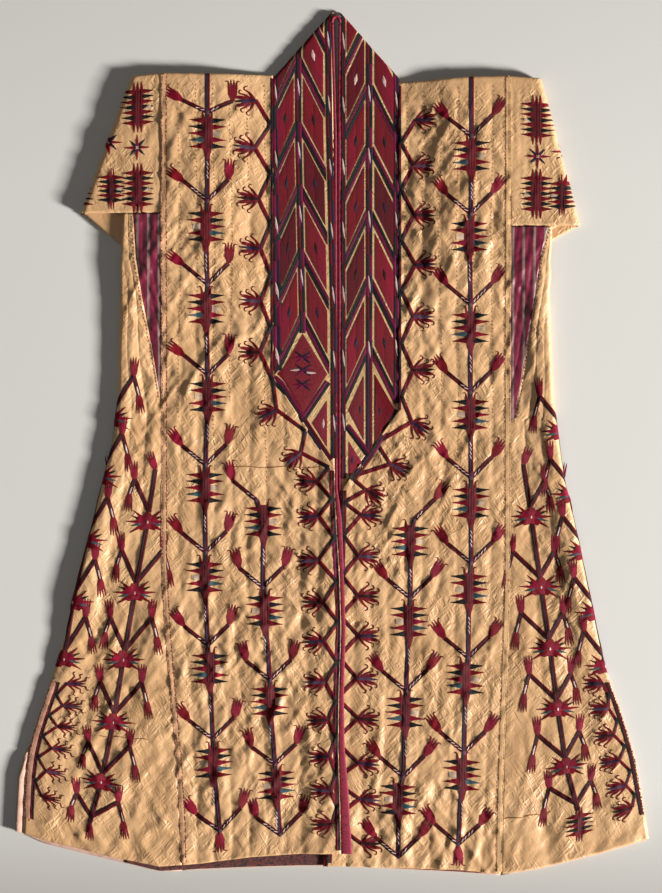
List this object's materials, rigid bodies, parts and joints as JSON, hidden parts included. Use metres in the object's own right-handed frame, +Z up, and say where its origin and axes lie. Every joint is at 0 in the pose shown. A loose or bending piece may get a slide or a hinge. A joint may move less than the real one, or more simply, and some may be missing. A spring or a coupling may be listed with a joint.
{
  "type": "chyrpy cloak laid flat",
  "caption": "Knee-length quilted silk cloak with embroidered collar band and false sleeves turned back, laid flat, face up.",
  "frame": {"origin": "on the surface the cloak lies on, under the line where its two fronts meet, half way up its length", "axes": "+Z up from the surface through back and fronts, +Y up the garment towards the collar, +X to the right as seen from above; left and right in node names are as seen from above"},
  "size_m": [0.885, 1.1989, 0.0163],
  "materials": {
    "yellow_silk": "satin",
    "embroidery": "silk floss",
    "striped_silk": "satin",
    "crimson_braid": "matte",
    "printed_cotton": "matte"
  },
  "bodies": {
    "root": {"back": "yellow_silk", "collar": "embroidery", "hem_facing": "printed_cotton", "front_left": "yellow_silk", "edging_left": "crimson_braid", "side_gore_left": "yellow_silk", "sleeve_left": "yellow_silk", "wedge_front_left": "striped_silk", "wedge_back_left": "striped_silk", "front_right": "yellow_silk", "edging_right": "crimson_braid", "side_gore_right": "yellow_silk", "sleeve_right": "yellow_silk", "wedge_front_right": "striped_silk", "wedge_back_right": "striped_silk"}
  },
  "joints": []
}
